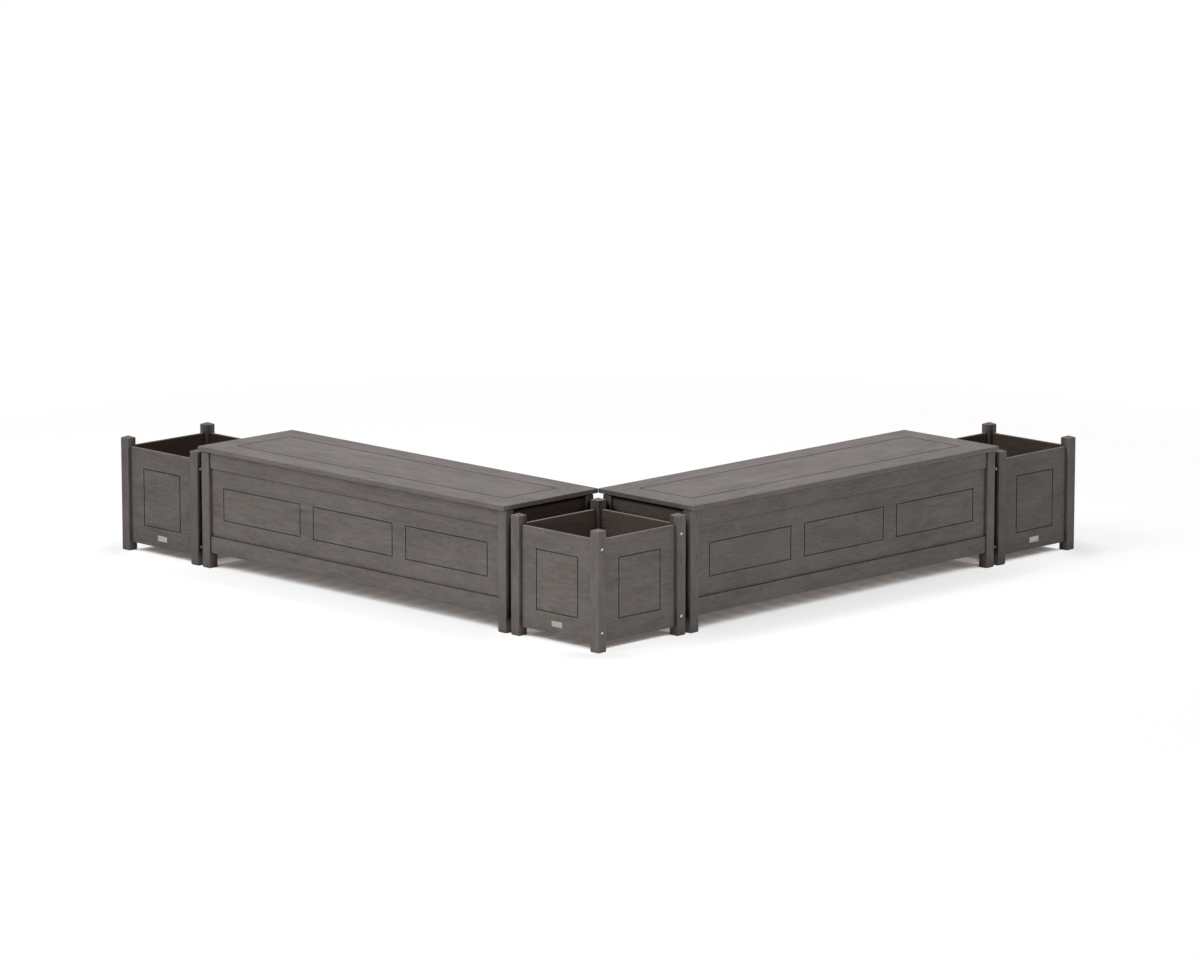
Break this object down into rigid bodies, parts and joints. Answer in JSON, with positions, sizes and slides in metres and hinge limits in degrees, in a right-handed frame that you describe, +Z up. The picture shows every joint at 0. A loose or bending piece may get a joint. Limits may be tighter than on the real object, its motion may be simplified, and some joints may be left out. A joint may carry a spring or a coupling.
{
  "type": "storage bench and planter set",
  "caption": "L-shaped outdoor seating set of lidded storage benches between square planter boxes, with square posts and panels routed with thin rectangles.",
  "frame": {"origin": "on the ground, under the middle of the box around the whole set", "axes": "+Z up; the left arm runs along X and faces -Y; the right arm runs along Y and faces +X; the corner planter is at +X, -Y"},
  "size_m": [2.5757, 2.5758, 0.4625],
  "materials": {
    "lumber": "matt grey-brown stain over wood grain, or wood-look plastic of the same colour",
    "panel": "matt grey-brown stain over wood grain, or wood-look plastic of the same colour",
    "inner_lumber": "plain sawn, same stain",
    "hardware": "plain stainless",
    "plate": "pale brass-coloured, bare",
    "bumper": "matt"
  },
  "bodies": {
    "frame": {"corner_planter_posts": "lumber", "corner_planter_front_panel": "panel", "corner_planter_back_panel": "panel", "corner_planter_side_panels": "panel", "corner_planter_floor_slats": "inner_lumber", "corner_planter_floor_cleats": "inner_lumber", "left_planter_posts": "lumber", "left_planter_front_panel": "panel", "left_planter_back_panel": "panel", "left_planter_side_panels": "panel", "left_planter_floor_slats": "inner_lumber", "left_planter_floor_cleats": "inner_lumber", "right_planter_posts": "lumber", "right_planter_front_panel": "panel", "right_planter_back_panel": "panel", "right_planter_side_panels": "panel", "right_planter_floor_slats": "inner_lumber", "right_planter_floor_cleats": "inner_lumber", "left_bench_front_posts": "lumber", "left_bench_back_posts": "lumber", "left_bench_front_panel": "panel", "left_bench_front_bottom_rail": "lumber", "left_bench_front_top_rail": "lumber", "left_bench_back_panel": "panel", "left_bench_back_bottom_rail": "lumber", "left_bench_back_top_rail": "lumber", "left_bench_end_panels": "panel", "left_bench_end_rails": "lumber", "left_bench_floor_slats": "inner_lumber", "left_bench_floor_cleats": "inner_lumber", "right_bench_front_posts": "lumber", "right_bench_back_posts": "lumber", "right_bench_front_panel": "panel", "right_bench_front_bottom_rail": "lumber", "right_bench_front_top_rail": "lumber", "right_bench_back_panel": "panel", "right_bench_back_bottom_rail": "lumber", "right_bench_back_top_rail": "lumber", "right_bench_end_panels": "panel", "right_bench_end_rails": "lumber", "right_bench_floor_slats": "inner_lumber", "right_bench_floor_cleats": "inner_lumber", "planter_plates": "plate", "planter_plate_pins": "hardware", "planter_bolts": "hardware", "planter_barrel_nuts": "hardware", "frame_hinge_leaves": "hardware", "frame_hinge_screws": "hardware", "hinge_pins": "hardware", "lid_bumpers": "bumper"},
    "left_lid": {"left_bench_lid": "panel", "left_bench_lid_battens": "inner_lumber", "left_bench_batten_screws": "hardware", "left_bench_lid_hinge_leaves": "hardware", "left_bench_lid_hinge_screws": "hardware"},
    "right_lid": {"right_bench_lid": "panel", "right_bench_lid_battens": "inner_lumber", "right_bench_batten_screws": "hardware", "right_bench_lid_hinge_leaves": "hardware", "right_bench_lid_hinge_screws": "hardware"}
  },
  "joints": [
    {"name": "left_lid_hinge", "type": "hinge", "parent": "frame", "child": "left_lid", "pos_m": [-0.0045, -0.8375, 0.4405], "axis": [-1, 0, 0], "range_deg": [0, 90]},
    {"name": "right_lid_hinge", "type": "hinge", "parent": "frame", "child": "right_lid", "pos_m": [0.8375, 0.0045, 0.4405], "axis": [0, -1, 0], "range_deg": [0, 90]}
  ]
}
